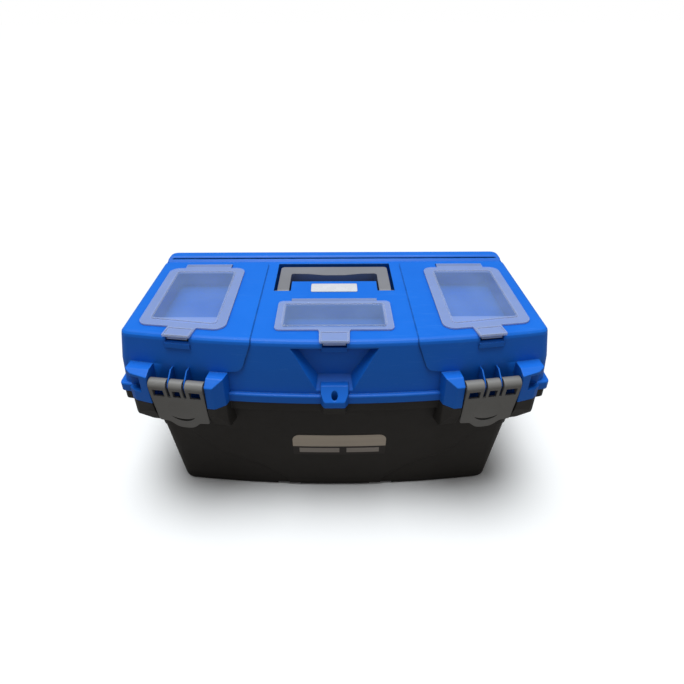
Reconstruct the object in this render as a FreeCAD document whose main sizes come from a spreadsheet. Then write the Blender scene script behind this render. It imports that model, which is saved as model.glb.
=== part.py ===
import FreeCAD, Part
import math
import os

# Moulded tool box: tub, hinged lid with organiser wells, folding handle, latches and lift-out tray.
# Frame: X along the box, to the right seen from the front; Y from front to back; Z up.
# Origin: centre of the box in plan, on the surface it stands on. Millimetres throughout.

Vector = FreeCAD.Vector
Rotation = FreeCAD.Rotation
Placement = FreeCAD.Placement

doc = FreeCAD.newDocument("ToolBox")
sheet = doc.addObject("Spreadsheet::Sheet", "Sizes")

SIZES = [
    ("box_width", 490.0, "overall width over the rim"),
    ("box_depth", 260.0, "overall depth, latch fingers to hinge barrels"),
    ("rim_level", 160.0, "height of the joint between tub and lid"),
    ("lid_top", 236.0, "height of the flat top of the lid"),
    ("band_rise", 6.0, "raised band along the back of the lid"),
    ("band_depth", 24.0, "depth of that band, front to back"),
    ("wall", 2.5, "moulded wall thickness"),
    ("bow_radius", 1150.0, "plan radius of the bowed front at the rim"),
    ("foot_bow_radius", 1450.0, "plan radius of the bowed front at the floor"),
    ("latch_standoff", 10.0, "latch fingers in front of the rim's centre"),
    ("hinge_overhang", 9.6, "hinge barrels behind the rim"),
    ("seam_gap", 0.3, "gap between closed mouldings"),
    ("rim_height", 11.0, "lid's rim flange"),
    ("collar_height", 12.0, "tub's turned-down rim flange"),
    ("collar_skin", 3.0, "thickness of the turned-down rim"),
    ("rim_corner", 6.0, "plan radius of the rim corners"),
    ("lid_corner", 11.0, "plan radius of the lid's upright corners"),
    ("edge_round", 6.0, "radius of the lid's top edges"),
    ("foot_round", 5.0, "radius of the tub's bottom edge"),
    ("tub_top_inset", 29.0, "tub wall inside the rim's side, at the rim"),
    ("tub_foot_inset", 41.0, "tub wall inside the rim's side, at the floor"),
    ("tub_floor", 3.0, "floor thickness"),
    ("foot_notch_height", 4.5, "height of the two channels under the tub"),
    ("foot_notch_inner", 45.0, "half width of the middle foot"),
    ("foot_notch_outer", 75.0, "inner edge of the side feet"),
    ("relief_depth", 1.2, "sunk corner fields on the tub's front"),
    ("lid_side_inset", 4.5, "lid side inside the rim, at the rim"),
    ("lid_top_inset", 12.5, "lid side inside the rim, at the top"),
    ("lid_face_setback", 8.5, "lid front behind the rim, at the top"),
    ("pod_seam", 88.0, "half width of the lid's middle section"),
    ("pod_rise", 1.2, "end pods above the middle section"),
    ("pod_proud", 1.5, "end pods in front of the middle section"),
    ("well_depth", 18.0, "depth of organiser wells and handle recess"),
    ("latch_inset", 75.0, "latch centre inside the rim's side"),
    ("latch_width", 61.5, "latch plate at its fingers"),
    ("latch_pivot_rise", 25.5, "latch pin above the rim joint"),
    ("latch_reach", 61.5, "latch pin to the tongue's end"),
    ("latch_skin", 3.0, "latch plate thickness"),
    ("knuckle_radius", 7.0, "latch fingers about their pin"),
    ("finger_width", 20.0, "outer latch fingers"),
    ("finger_gap", 3.2, "slots between latch fingers"),
    ("rib_skin", 1.5, "lid ribs that run into those slots"),
    ("bracket_gap", 1.0, "clearance beside the latch plate"),
    ("bracket_width", 22.0, "blocks on the middle side of each latch"),
    ("outer_bracket_width", 27.0, "blocks on the outer side of each latch"),
    ("bracket_setback", 2.5, "face of those blocks behind the latch fingers"),
    ("bracket_drop", 33.0, "tub blocks below the rim joint"),
    ("pin_radius", 2.0, "latch and hinge pins"),
    ("running_gap", 0.05, "radial clearance of a pin in a moving part"),
    ("barrel_radius", 4.5, "rear hinge barrels"),
    ("hinge_spread", 150.0, "hinge centres from the middle"),
    ("hinge_length", 60.0, "length of one hinge"),
    ("cover_skin", 1.8, "organiser cover thickness"),
    ("cover_bead", 0.8, "raised bead round a cover's window"),
    ("cover_gap", 0.3, "clearance under the covers"),
    ("cover_pivot_drop", 2.2, "cover pivot below the lid's top"),
    ("cover_barrel", 1.8, "radius of a cover's hinge barrel"),
    ("trunnion_radius", 1.2, "cover trunnions"),
    ("trunnion_length", 2.5, "cover trunnions into the lid"),
    ("handle_half", 70.7, "half width of the handle"),
    ("handle_arm", 14.7, "width of a handle arm"),
    ("handle_skin", 13.0, "thickness of the handle"),
    ("handle_gap", 3.8, "clearance round the folded handle"),
    ("handle_pivot_y", 13.0, "handle pivot, from the middle of the box"),
    ("handle_reach", 64.0, "handle pivot to the grip's back edge"),
    ("grip_depth", 20.0, "front to back of the grip"),
    ("handle_trunnion", 4.0, "radius of the handle's trunnions"),
    ("trunnion_bite", 4.5, "handle trunnions into the recess walls"),
    ("padlock_radius", 3.5, "padlock hole"),
    ("padlock_setback", 5.2, "padlock hole behind the tab's front"),
    ("padlock_reach", 7.5, "padlock tab in front of the rim"),
    ("tray_half", 204.0, "half length of the lift-out tray"),
    ("tray_front", -84.0, "front of the tray"),
    ("tray_back", 102.0, "back of the tray"),
    ("tray_height", 45.0, "height of the tray"),
    ("tray_sink", 2.0, "top of the tray below the rim joint"),
    ("tray_skin", 2.0, "tray walls"),
    ("trough_depth", 40.0, "middle trough of the tray"),
    ("plate_skin", 0.8, "name plate thickness"),
    ("label_skin", 0.4, "front label thickness"),
]

for row, (alias, value, note) in enumerate(SIZES, start=1):
    sheet.set(f"A{row}", note)
    sheet.set(f"B{row}", str(value))
    sheet.setAlias(f"B{row}", alias)
doc.recompute()


def val(alias):
    """The sheet's value of one driving size, in millimetres."""
    return float(getattr(sheet, alias))


half = val("box_width") / 2
rim_front = -val("box_depth") / 2 + val("latch_standoff")
rim_back = val("box_depth") / 2 - val("hinge_overhang")
rim_level = val("rim_level")
lid_top = val("lid_top")
wall = val("wall")
latch_x = half - val("latch_inset")
latch_turn = math.degrees(math.asin(latch_x / val("bow_radius")))
lid_foot = rim_level + val("seam_gap")
shoulder = rim_level + val("rim_height")
collar_foot = rim_level - val("collar_height")
well_floor = lid_top - val("well_depth")
pod_top = lid_top + val("pod_rise")
far = val("box_width") + val("box_depth")


# ---- outlines and simple solids -------------------------------------------------

def bow(x, radius):
    """How far a bowed front has fallen back at a distance x from the middle."""
    return radius - math.sqrt(radius ** 2 - x ** 2)


def plan_outline(level, side, front, back, radius, front_round, back_round):
    """Closed plan wire: bowed front, straight sides and back, rounded corners."""
    centre_y = front + radius
    corner_x = side - front_round
    corner_y = centre_y - math.sqrt((radius - front_round) ** 2 - corner_x ** 2)
    stretch = radius / (radius - front_round)
    meet = Vector(corner_x * stretch, centre_y + (corner_y - centre_y) * stretch, level)
    mirror = Vector(-meet.x, meet.y, level)
    nose = Vector(0, front, level)
    lean = math.atan2(corner_x, centre_y - corner_y) / 2 + math.pi / 4
    front_mid = Vector(corner_x + front_round * math.sin(lean), corner_y - front_round * math.cos(lean), level)
    back_mid_x = side - back_round + back_round * math.sqrt(0.5)
    back_mid_y = back - back_round + back_round * math.sqrt(0.5)
    right_low = Vector(side, corner_y, level)
    right_high = Vector(side, back - back_round, level)
    back_right = Vector(side - back_round, back, level)
    back_left = Vector(-side + back_round, back, level)
    left_high = Vector(-side, back - back_round, level)
    left_low = Vector(-side, corner_y, level)
    edges = [
        Part.Arc(mirror, nose, meet),
        Part.Arc(meet, front_mid, right_low),
        Part.LineSegment(right_low, right_high),
        Part.Arc(right_high, Vector(back_mid_x, back_mid_y, level), back_right),
        Part.LineSegment(back_right, back_left),
        Part.Arc(back_left, Vector(-back_mid_x, back_mid_y, level), left_high),
        Part.LineSegment(left_high, left_low),
        Part.Arc(left_low, Vector(-front_mid.x, front_mid.y, level), mirror),
    ]
    return Part.Wire([edge.toShape() for edge in edges])


def ruled_solid(levels):
    """Solid through a list of plan outlines, straight between neighbours."""
    return Part.makeLoft([plan_outline(*level) for level in levels], True, True)


def rounded_loop(points):
    """Lines and arcs round the corners (x, y, radius), each arc tangent to its two sides."""
    count = len(points)
    starts, ends, mids = [], [], []
    for index, (x, y, radius) in enumerate(points):
        corner = Vector(x, y, 0)
        before = Vector(*points[index - 1][:2], 0) - corner
        after = Vector(*points[(index + 1) % count][:2], 0) - corner
        before.normalize()
        after.normalize()
        half_angle = before.getAngle(after) / 2
        setback = radius / math.tan(half_angle)
        bisector = before + after
        if bisector.Length > 0:
            bisector.normalize()
        starts.append(corner + before * setback)
        ends.append(corner + after * setback)
        mids.append(corner + bisector * (radius / math.sin(half_angle) - radius))
    pieces = []
    for index in range(count):
        if points[index][2] > 0:
            pieces.append(Part.Arc(starts[index], mids[index], ends[index]))
        following = (index + 1) % count
        if (starts[following] - ends[index]).Length > 1e-6:
            pieces.append(Part.LineSegment(ends[index], starts[following]))
    return pieces


def prism(points, low, high):
    """Upright solid on a plan outline with rounded corners."""
    face = Part.Face(Part.Wire([piece.toShape() for piece in rounded_loop(points)]))
    face.translate(Vector(0, 0, low))
    return face.extrude(Vector(0, 0, high - low))


def side_prism(points, left, right):
    """Solid on a (y, z) profile with rounded corners, running along X."""
    face = Part.Face(Part.Wire([piece.toShape() for piece in rounded_loop(points)]))
    face.Placement = Placement(Vector(left, 0, 0), Rotation(Vector(1, 1, 1), 120))
    return face.extrude(Vector(right - left, 0, 0))


def front_prism(points, near, deep):
    """Solid on an (x, z) outline with rounded corners, running along Y."""
    face = Part.Face(Part.Wire([piece.toShape() for piece in rounded_loop(points)]))
    face.Placement = Placement(Vector(0, deep, 0), Rotation(Vector(1, 0, 0), 90))
    return face.extrude(Vector(0, near - deep, 0))


def block(x_pair, y_pair, z_pair):
    """Plain box between pairs of limits."""
    size = [pair[1] - pair[0] for pair in (x_pair, y_pair, z_pair)]
    return Part.makeBox(*size, Vector(x_pair[0], y_pair[0], z_pair[0]))


def rod(radius, length, centre):
    """Cylinder along X, centred on a point."""
    return Part.makeCylinder(radius, length, centre - Vector(length / 2, 0, 0), Vector(1, 0, 0))


def both_sides(solid):
    """A solid and its mirror image across the middle of the box."""
    return [solid, solid.mirror(Vector(0, 0, 0), Vector(1, 0, 0))]


def feature(label, shape):
    """Document object that holds a directly built shape."""
    item = doc.addObject("Part::Feature", label)
    item.Label = label
    item.Shape = shape
    return item


def bind(item, **formulas):
    """Tie an object's properties to the sheet."""
    for name, formula in formulas.items():
        item.setExpression(name.replace("__", "."), formula)


# ---- shared places ---------------------------------------------------------------

latch_pivot = Vector(latch_x, 0, rim_level + val("latch_pivot_rise"))
latch_lean = math.radians(latch_turn)
latch_lean_rate = 0.129
latch_pivot.y = (-val("box_depth") / 2 + val("knuckle_radius") * math.cos(latch_lean)
                 + val("latch_width") / 2 * math.sin(latch_lean))
latch_frame = Placement(latch_pivot, Rotation(Vector(0, 0, 1), latch_turn))
hinge_axis = Vector(0, val("box_depth") / 2 - val("barrel_radius"), rim_level)
handle_pivot = Vector(0, val("handle_pivot_y"), lid_top - 8.0)
padlock_y = rim_front - val("padlock_reach") + val("padlock_setback")
mid_face = rim_front + val("lid_face_setback")

# Side cover, right-hand one: plan corners, and the well inside its window.
side_cover_x = half - 78.0
pod_face = mid_face - val("pod_proud") + bow(side_cover_x, val("bow_radius"))
side_cover_inner = side_cover_x - 49.5
side_cover_outer = side_cover_x + 48.5
side_cover_turn = math.degrees(math.asin(side_cover_x / val("bow_radius")))
side_cover_back = 65.0
side_cover_front = rim_front + 43.0
side_cover_slant = 14.0
window_margin = 12.5
side_pivot_y = side_cover_back + 9.5
side_barrel = 60.0
mid_cover_half = 65.0
mid_cover_back = -25.0
mid_cover_front = rim_front + 31.0
mid_pivot_y = mid_cover_back + 4.0
mid_barrel = 100.0
slot_behind = 5.3
slot_ahead = 2.4
slot_drop = 1.4


def side_cover_plan(inset, radius):
    """Plan corners of a side cover or of the opening inside it."""
    low_outer = side_cover_front + inset
    low_inner = side_cover_front - side_cover_slant + inset
    return [
        (side_cover_inner + inset, low_inner, radius),
        (side_cover_outer - inset, low_outer, radius),
        (side_cover_outer - inset, side_cover_back - inset, radius),
        (side_cover_inner + inset, side_cover_back - inset, radius),
    ]


def mid_cover_plan(inset, radius):
    """Plan corners of the middle cover or of the opening inside it."""
    return [
        (-mid_cover_half + inset, mid_cover_front + inset, radius),
        (mid_cover_half - inset, mid_cover_front + inset, radius),
        (mid_cover_half - inset, mid_cover_back - inset, radius),
        (-mid_cover_half + inset, mid_cover_back - inset, radius),
    ]


# ---- tub -------------------------------------------------------------------------

def tub_levels(offset, lowest, highest):
    """Outlines of the tub wall, moved inwards by an offset, with a rounded foot."""
    top_front = rim_front + 7.0
    foot_front = rim_front + 25.0
    top_back = rim_back - 8.0
    foot_back = rim_back - 22.0

    def outline(level, inset):
        share = level / rim_level
        side = half - val("tub_foot_inset") + share * (val("tub_foot_inset") - val("tub_top_inset"))
        front = foot_front + share * (top_front - foot_front)
        back = foot_back + share * (top_back - foot_back)
        radius = val("foot_bow_radius") + share * (val("bow_radius") - val("foot_bow_radius"))
        rounding = 20.0 - 6.0 * share - offset
        return (level, side - inset, front + inset, back - inset, radius, rounding, rounding)

    levels = []
    foot_round = val("foot_round") - offset
    for angle in (0, 30, 60):
        turn = math.radians(angle)
        levels.append(outline(lowest + foot_round * (1 - math.cos(turn)),
                              offset + foot_round * (1 - math.sin(turn))))
    levels.append(outline(lowest + foot_round, offset))
    levels.append(outline(highest, offset))
    return levels


def collar_levels(offset, low, high):
    """Outlines of the tub's turned-down rim."""
    rounding = val("rim_corner") - offset
    return [(level, half - 2.0 - offset, rim_front + 2.0 + offset, rim_back - offset,
             val("bow_radius"), rounding, rounding) for level in (low, high)]


def latch_block(profile, plan):
    """Block beside the latches: side profile and plan outline, in the latch's own frame."""
    body = side_prism(profile, -far, far).common(prism(plan, -far, far))
    body.Placement = latch_frame
    return body


def bracket_plans():
    """Plan outlines of the blocks beside the right-hand latch: towards the middle, and outside."""
    near = val("latch_width") / 2 + val("bracket_gap")
    wide = near + val("bracket_width")
    outside = near + val("outer_bracket_width")
    face = -val("knuckle_radius") + val("bracket_setback")
    inner = [(-near, 26, 0), (-near, face, 1), (-near - 9, face, 3), (-wide + 3, face + 9, 3), (-wide, 26, 0)]
    outer = [(near, 26, 0), (outside, 26, 0), (outside, face + 8, 3), (outside - 7, face + 3.5, 4), (near, face, 1)]
    return inner, outer


def front_relief():
    """Shallow sunk fields at the tub's front corners, each under a long curved crease."""
    depth = val("relief_depth")
    skin = ruled_solid(tub_levels(-1, 0, rim_level)).cut(ruled_solid(tub_levels(depth, -2, rim_level)))
    outline = [(57, -5, 0), (62, 15, 14), (92, 42, 60), (140, 60, 60), (176, 101, 20), (far, 112, 0), (far, -5, 0)]
    field = front_prism(outline, rim_front - 5, -40)
    return both_sides(skin.common(field))


def padlock_tab_plan(back):
    """Plan outline of the padlock tab, from its place under the rim to its narrower front."""
    front = rim_front - val("padlock_reach")
    return [(15, back, 0), (-15, back, 0), (-15, rim_front - 1, 3), (-11.5, front, 3), (11.5, front, 3),
            (15, rim_front - 1, 3)]


def make_tub():
    outer = ruled_solid(tub_levels(0, 0, rim_level))
    notch = block((val("foot_notch_inner"), val("foot_notch_outer")), (-far, far), (-1, val("foot_notch_height")))
    outer = outer.cut(both_sides(notch))

    collar = ruled_solid(collar_levels(0, collar_foot, rim_level))
    hollow = ruled_solid(collar_levels(val("collar_skin"), collar_foot - 1, rim_level - val("collar_skin")))
    collar = collar.cut(hollow)

    below = collar_foot - rim_level
    drop = -val("latch_pivot_rise") - val("bracket_drop")
    face = -val("knuckle_radius") + val("bracket_setback")
    top = -val("latch_pivot_rise")
    shroud = [(26, top, 0), (face, top, 0), (face + 1.5, top + below, 3), (face + 11, drop, 6), (26, drop, 0)]
    outside = val("latch_width") / 2 + val("bracket_gap") + val("outer_bracket_width")
    corner = front_prism([(-far, far, 0), (outside + 1, far, 0), (outside - 2, drop + 13, 4), (outside - 22, drop, 4),
                          (-far, drop, 0)], -far, far)
    corner.Placement = latch_frame.multiply(corner.Placement)
    extras = [collar]
    for plan in bracket_plans():
        extras += both_sides(latch_block(shroud, plan).common(corner))
    strike_low = -val("latch_pivot_rise") - 13.4
    strike = [(3.2, strike_low, 1), (26, strike_low, 0), (26, strike_low + 7, 0), (3.2, strike_low + 5, 1)]
    near = val("latch_width") / 2 + val("bracket_gap")
    strike_plan = [(-near, 26, 0), (-near, 0, 0), (near, 0, 0), (near, 26, 0)]
    extras += both_sides(latch_block(strike, strike_plan))

    extras.append(prism(padlock_tab_plan(rim_front + 6), rim_level - 8, rim_level))

    for start, length in hinge_shares(False):
        web = block((start, start + length), (rim_back - 3, hinge_axis.y), (rim_level - val("barrel_radius"), rim_level))
        barrel = rod(val("barrel_radius"), length, hinge_axis + Vector(start + length / 2, 0, 0))
        extras += both_sides(web.fuse(barrel))
    body = outer.cut(front_relief()).fuse(extras)

    cavity = ruled_solid(tub_levels(wall, val("tub_floor"), rim_level + 1))
    ridge = block((val("foot_notch_inner") - wall, val("foot_notch_outer") + wall), (-far, far),
                  (-1, val("foot_notch_height") + val("tub_floor")))
    post_top = rim_level - val("tray_sink") - val("tray_height")
    posts = []
    for y in (-50.0, 70.0):
        posts += both_sides(block((val("tray_half") - 8, far), (y, y + 10), (-1, post_top)))
    cavity = cavity.cut(both_sides(ridge) + posts)
    pin_hole = rod(val("pin_radius"), val("hinge_length"), hinge_axis + Vector(val("hinge_spread"), 0, 0))
    padlock = Part.makeCylinder(val("padlock_radius"), 20, Vector(0, padlock_y, rim_level - 15))
    body = body.cut([cavity, padlock] + both_sides(pin_hole))
    return feature("base_tub", body.removeSplitter())


def hinge_shares(lid_share):
    """Start and length along X of one hinge's barrels: two on the tub, one between on the lid."""
    start = val("hinge_spread") - val("hinge_length") / 2
    third = val("hinge_length") / 4
    gap = val("seam_gap")
    if lid_share:
        return [(start + third + gap, val("hinge_length") - 2 * third - 2 * gap)]
    return [(start, third), (start + val("hinge_length") - third, third)]


# ---- lid -------------------------------------------------------------------------

def lid_levels(offset, low, high, proud=0.0, narrow=0.0):
    """Outlines of the lid wall from the shoulder to the top, with a rounded top edge."""
    rounding = val("edge_round")
    shoulder_side = half - val("lid_side_inset") - narrow
    top_side = half - val("lid_top_inset") - narrow
    turn_level = high - rounding
    waist = (shoulder + turn_level) / 2
    sides = {low: shoulder_side, waist: (shoulder_side + top_side) / 2 + 1.5, turn_level: top_side}
    levels = []
    for level in (low, waist, turn_level):
        share = max(0.0, (level - shoulder) / (turn_level - shoulder))
        front = rim_front + 4.0 - proud + share * (val("lid_face_setback") - 4.0)
        back = rim_back - 2.0 - share * 3.0
        corner = val("lid_corner") - offset
        levels.append((level, sides[level] - offset, front + offset, back - offset,
                       val("bow_radius"), corner, corner))
    last = levels[-1]
    for angle in (30, 60, 90):
        turn = math.radians(angle)
        inset = rounding * (1 - math.cos(turn))
        levels.append((turn_level + rounding * math.sin(turn), last[1] - inset, last[2] + inset,
                       last[3] - inset, last[4], last[5] - inset, last[6] - inset))
    return levels


def rim_levels(offset, low, high):
    """Outlines of the lid's rim flange, its top edge a little rounded."""
    corner = val("rim_corner") - offset
    levels = []
    for level, inset in ((low, 0), (high - 2.0, 0), (high - 0.6, 0.6), (high, 2.0)):
        levels.append((level, half - offset - inset, rim_front + offset + inset, rim_back - offset - inset,
                       val("bow_radius"), corner - inset, corner - inset))
    return levels


def pod_zone(inset):
    """Where the end pods stand proud: all beyond a rounded corner line and a curved front edge."""
    back = rim_back - 5.0 - val("band_depth") - 4.0 - inset
    seam = val("pod_seam") + inset
    low = rim_level + 38.5 - inset
    plan = prism([(seam, -far, 0), (far, -far, 0), (far, back, 0), (seam, back, 9)], lid_foot - 1, far)
    front = front_prism([(seam, far, 0), (seam, lid_top - 4, 8), (seam + 12, low, 12), (seam + 46, low - 3, 0),
                         (seam + 46, lid_foot - 1, 0), (far, lid_foot - 1, 0), (far, far, 0)], -far, far)
    return plan.common(front)


def end_pods():
    """The two end pods, their raised edges softened in two steps."""
    solids = []
    for share, inset in ((0.5, 0.0), (1.0, 0.7)):
        levels = lid_levels(0, lid_foot, lid_top + share * val("pod_rise"), share * val("pod_proud"))
        solids += both_sides(ruled_solid(levels).common(pod_zone(inset)))
    return solids


def lid_outer():
    main = ruled_solid(lid_levels(0, lid_foot, lid_top))
    tall = ruled_solid(lid_levels(0, lid_foot, lid_top + val("band_rise"), 0, 3.5))
    band_front = rim_back - 5.0 - val("band_depth")
    slope = val("band_rise") * 1.2
    behind = side_prism([(band_front, lid_foot, 0), (band_front, lid_top, 0),
                         (band_front + slope, lid_top + val("band_rise"), 1.5),
                         (far, lid_top + val("band_rise") + 1, 0), (far, lid_foot, 0)], -far, far)
    rim = ruled_solid(rim_levels(0, lid_foot, shoulder))
    return main.fuse([tall.common(behind), rim] + end_pods())


def lid_cavity():
    main = ruled_solid(lid_levels(wall, lid_foot - 1, lid_top - wall))
    tall = ruled_solid(lid_levels(wall, lid_foot - 1, lid_top + val("band_rise") - wall, 0, 3.5))
    band_front = rim_back - 5.0 - val("band_depth") + wall + 1
    behind = block((-far, far), (band_front, far), (-far, far))
    return main.fuse(tall.common(behind))


def lid_brackets():
    """Blocks and ribs that carry the latch pins."""
    foot = val("seam_gap") - val("latch_pivot_rise")
    face = -val("knuckle_radius") + val("bracket_setback")
    inner_plan, outer_plan = bracket_plans()
    inner = [(26, foot, 0), (face, foot, 0), (face, 3, 1.5), (face + 9, 10, 3), (26, 11, 0)]
    outer = [(26, foot, 0), (face, foot, 0), (face, 10, 2), (face + 9, 15, 3), (26, 16, 0)]
    rib = [(26, -8, 0), (-3, -8, 1), (-4.6, 0, 3), (-2, 5, 2), (9, 14, 1), (26, 14, 0)]
    inner_block = latch_block(inner, inner_plan)
    outer_block = latch_block(outer, outer_plan)
    solids = both_sides(inner_block) + both_sides(outer_block)
    near = val("latch_width") / 2 - val("finger_width") - val("finger_gap") / 2
    for centre in (-near, near):
        strip = [(centre - val("rib_skin") / 2, -20, 0), (centre + val("rib_skin") / 2, -20, 0),
                 (centre + val("rib_skin") / 2, 26, 0), (centre - val("rib_skin") / 2, 26, 0)]
        solids += both_sides(latch_block(rib, strip))
    return solids


def corner_pockets():
    """Shallow pockets in the outward faces of the outer latch blocks."""
    near = val("latch_width") / 2 + val("bracket_gap")
    left = near + 10
    right = near + val("outer_bracket_width") + 20
    profile = [(-far, -11, 0), (far, -11, 0), (far, 8, 0), (-far, 8, 0)]
    plan = [(left, 9, 2), (right, 9, 0), (right, -far, 0), (left, -far, 0)]
    return both_sides(latch_block(profile, plan))


def front_pocket(offset):
    """Funnel-shaped recess in the middle of the lid's front, or the cup a wall outside it."""
    deep_y = rim_front + 19.0 + offset
    near_y = rim_front + 1.0
    inner = [(-41 - offset, -11 + offset), (41 + offset, -11 + offset), (18 + offset, -48 - offset),
             (-18 - offset, -48 - offset)]
    outer = [(-51.5 - offset, -6 + offset), (51.5 + offset, -6 + offset), (21 + offset, -64.6 - offset),
             (-21 - offset, -64.6 - offset)]
    wires = []
    for points, y in ((inner, deep_y), (outer, near_y)):
        corners = [Vector(x, y, lid_top + z) for x, z in points]
        wires.append(Part.makePolygon(corners + corners[:1]))
    return Part.makeLoft(wires, True, True)


def lid_wells():
    """Hollows and their cups: three organiser wells, the handle recess and the cover slots."""
    hollows, cups = [], []
    side = side_cover_plan(window_margin - 1, 8)
    side_cup = side_cover_plan(window_margin - 1 - wall, 10)
    hollows += both_sides(prism(side, well_floor, pod_top + 1))
    cups += both_sides(prism(side_cup, well_floor - wall, lid_top))
    hollows.append(prism(mid_cover_plan(8, 4), well_floor, lid_top + 1))
    cups.append(prism(mid_cover_plan(8 - wall, 6), well_floor - wall, lid_top))

    for centre, pivot_y, length, deck in ((side_cover_x, side_pivot_y, side_barrel, pod_top),
                                          (0, mid_pivot_y, mid_barrel, lid_top)):
        reach = length / 2 + 0.4
        pivot_z = deck - val("cover_pivot_drop")
        floor = pivot_z - val("cover_barrel") - slot_drop
        slot = block((centre - reach, centre + reach), (pivot_y - slot_ahead, pivot_y + slot_behind),
                     (floor, deck + 1))
        cup = block((centre - reach - 6, centre + reach + 6), (pivot_y - slot_ahead - 3, pivot_y + slot_behind + 3),
                    (floor - wall, lid_top - 1))
        bore = rod(val("trunnion_radius") + val("running_gap"), length + 2 * val("trunnion_length") + 0.6,
                   Vector(centre, pivot_y, pivot_z))
        hollows += both_sides(slot) + both_sides(bore) if centre else [slot, bore]
        cups += both_sides(cup) if centre else [cup]
    return hollows, cups


def handle_recess():
    """Recess for the folded handle: its hollow, its cup, and the island between the arms."""
    side = val("handle_half") + val("handle_gap")
    front = handle_pivot.y - 8.0
    back = handle_pivot.y + val("handle_reach") + 7.5
    hollow = block((-side, side), (front, back), (well_floor, lid_top + 1))
    socket = side + val("trunnion_bite") + 0.5
    cup = block((-socket - 2, socket + 2), (front - wall, back + wall), (well_floor - wall, lid_top - 1))
    island_side = val("handle_half") - val("handle_arm") - 2.5
    scoop = handle_pivot.y + val("handle_reach") - val("grip_depth") - 6.0
    island = side_prism([(front - 1, well_floor - 1, 0), (scoop, well_floor - 1, 0), (scoop, well_floor + 5, 2),
                         (scoop - 20, lid_top, 6), (front - 1, lid_top, 0)], -island_side, island_side)
    inside = side_prism([(front + 1, well_floor - 9, 0), (scoop - wall, well_floor - 9, 0),
                         (scoop - wall, well_floor + 3, 1), (scoop - 21, lid_top - wall, 3),
                         (front + 1, lid_top - wall, 0)], -island_side + wall, island_side - wall)
    bore = rod(val("handle_trunnion") + val("running_gap"), 2 * socket, handle_pivot)
    return hollow, cup, island, inside, bore


def catch_details():
    """Notches that the cover hooks drop into, and the bosses under them."""
    notches, bosses = [], []
    notch_back = 9.0
    side = (side_cover_x, pod_face, side_cover_turn, pod_top, 7.5, -2.0, 3.0)
    middle = (0, mid_face, 0, lid_top, 10.5, 7.0, 14.0)
    for centre, y, turn, deck, depth, boss_front, boss_back in (side, middle):
        notch = block((-13.0, 13.0), (-6, notch_back), (deck - depth, deck - 1.2))
        boss = block((-14.0, 14.0), (boss_front, boss_back), (deck - depth - 7.0, deck - depth - 0.5))
        for solid, group in ((notch, notches), (boss, bosses)):
            solid.Placement = Placement(Vector(centre, y, 0), Rotation(Vector(0, 0, 1), turn))
            group += both_sides(solid) if centre else [solid]
    return notches, bosses


def make_lid():
    notches, bosses = catch_details()
    tab_front = rim_front - val("padlock_reach")
    tab_side = [(rim_front + 14, lid_foot, 0), (tab_front, lid_foot, 0), (tab_front, rim_level + 8, 1.5),
                (rim_front + 4.6, rim_level + 22, 1), (rim_front + 14, rim_level + 22, 0)]
    tab = side_prism(tab_side, -20, 20).common(prism(padlock_tab_plan(rim_front + 14), -far, far))
    body = lid_outer().cut(front_pocket(0))
    body = body.fuse(lid_brackets() + bosses + [tab])
    for start, length in hinge_shares(True):
        web = block((start, start + length), (rim_back - 3, hinge_axis.y), (lid_foot, rim_level + val("barrel_radius")))
        barrel = rod(val("barrel_radius"), length, hinge_axis + Vector(start + length / 2, 0, 0))
        body = body.fuse(both_sides(web.fuse(barrel)))

    hollows, cups = lid_wells()
    recess, recess_cup, island, island_inside, handle_bore = handle_recess()
    cavity = lid_cavity().cut(cups + [recess_cup, front_pocket(wall)])
    body = body.cut([cavity] + hollows + notches + corner_pockets())
    body = body.cut(recess).fuse(island).cut([island_inside, handle_bore])

    hinge_hole = rod(val("pin_radius") + val("running_gap"), val("hinge_length"),
                     hinge_axis + Vector(val("hinge_spread"), 0, 0))
    latch_hole = rod(val("pin_radius"), latch_pin_length(), Vector(0, 0, 0))
    latch_hole.Placement = latch_frame.multiply(latch_hole.Placement)
    padlock = Part.makeCylinder(val("padlock_radius"), 30, Vector(0, padlock_y, rim_level - 5))
    body = body.cut(both_sides(hinge_hole) + both_sides(latch_hole) + [padlock])
    return feature("lid_shell", body.removeSplitter())


# ---- pins ------------------------------------------------------------------------

def latch_pin_length():
    return val("latch_width") + 2 * val("bracket_gap") + 16.0


def make_pin(label, radius_formula, length, centre, turn):
    """Round pin along X, turned about the vertical by an angle."""
    pin = doc.addObject("Part::Cylinder", label)
    pin.Label = label
    bind(pin, Radius=radius_formula)
    pin.Height = length
    along = Rotation(Vector(0, 0, 1), turn).multiply(Rotation(Vector(0, 1, 0), 90))
    pin.Placement = Placement(centre - along.multVec(Vector(0, 0, length / 2)), along)
    return pin


def make_pins():
    pins = []
    for name, sign in (("left", -1), ("right", 1)):
        pivot = Vector(sign * latch_pivot.x, latch_pivot.y, latch_pivot.z)
        pins.append(make_pin(f"latch_pin_{name}", "Sizes.pin_radius", latch_pin_length(), pivot, sign * latch_turn))
        place = hinge_axis + Vector(sign * val("hinge_spread"), 0, 0)
        pins.append(make_pin(f"hinge_pin_{name}", "Sizes.pin_radius", val("hinge_length"), place, 0))
    return pins


# ---- sketch-based bodies -----------------------------------------------------------

def origin_plane(body, role):
    for item in body.Origin.OriginFeatures:
        if item.Role == role:
            return item
    raise ValueError(role)


def sketch_on(body, name, role, geometry, level):
    """Sketch on one of the body's own planes, raised to a level along its normal."""
    sketch = body.newObject("Sketcher::SketchObject", name)
    sketch.AttachmentSupport = [(origin_plane(body, role), "")]
    sketch.MapMode = "FlatFace"
    sketch.AttachmentOffset = Placement(Vector(0, 0, level), Rotation())
    sketch.addGeometry(geometry, False)
    return sketch


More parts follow.
